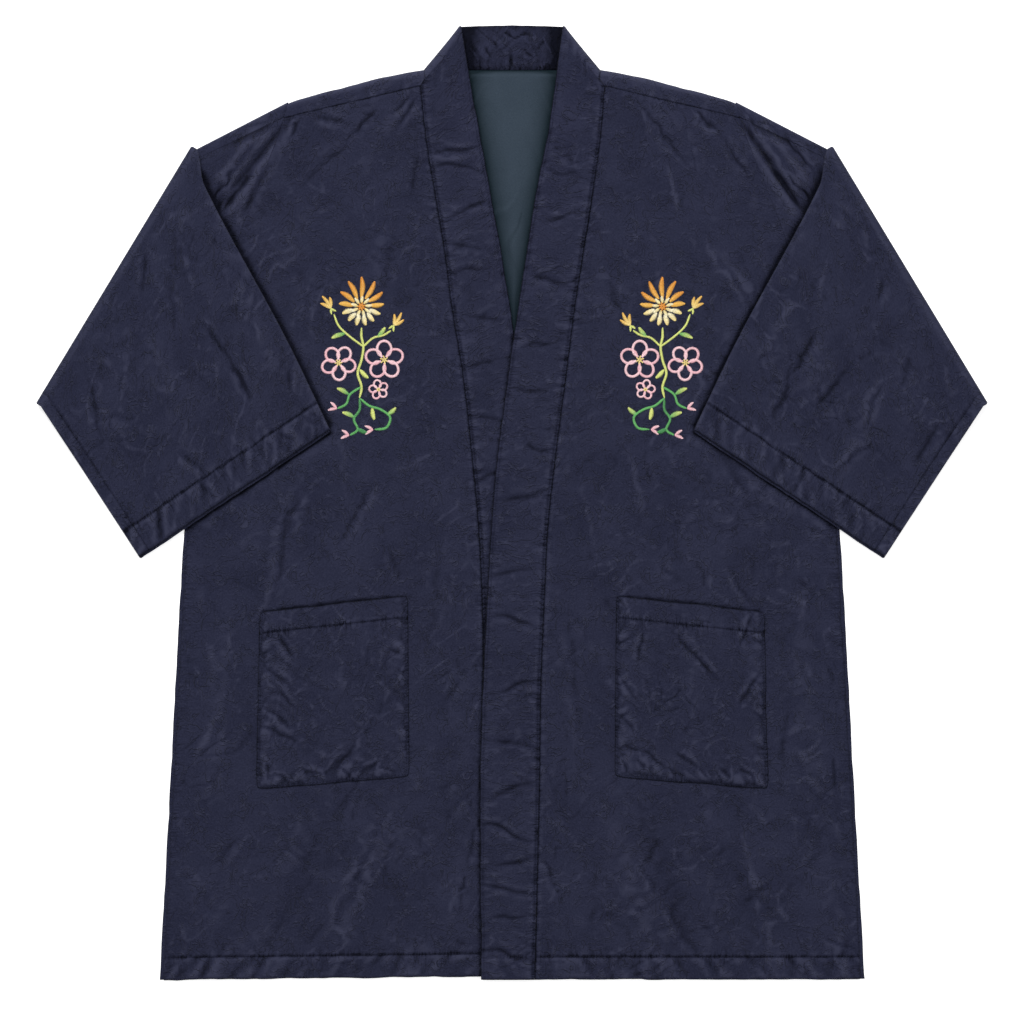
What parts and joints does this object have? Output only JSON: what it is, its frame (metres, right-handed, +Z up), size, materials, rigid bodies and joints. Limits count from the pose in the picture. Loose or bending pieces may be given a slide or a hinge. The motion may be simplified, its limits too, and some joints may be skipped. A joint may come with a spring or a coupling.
{
  "type": "short kimono jacket",
  "caption": "Short wide kimono jacket of dark navy twill, laid flat on its back with the sleeves folded over the front, with a long collar band, patch pockets and teal lining in the neck.",
  "frame": {"origin": "on the surface that the jacket lies on, below the middle of its outline", "axes": "+Z up off the surface, +Y from the hem toward the neck, +X toward the wearer's left"},
  "size_m": [0.9971, 1.0023, 0.014],
  "materials": {
    "shell": "soft washed twill with a low sheen",
    "lining": "smooth plain lining cloth"
  },
  "bodies": {
    "root": {"back_panel": "shell", "neck_lining": "lining", "collar_band": "shell", "front_left": "shell", "pocket_left": "shell", "sleeve_left_back": "shell", "sleeve_left_front": "shell", "front_right": "shell", "pocket_right": "shell", "sleeve_right_back": "shell", "sleeve_right_front": "shell"}
  },
  "joints": []
}
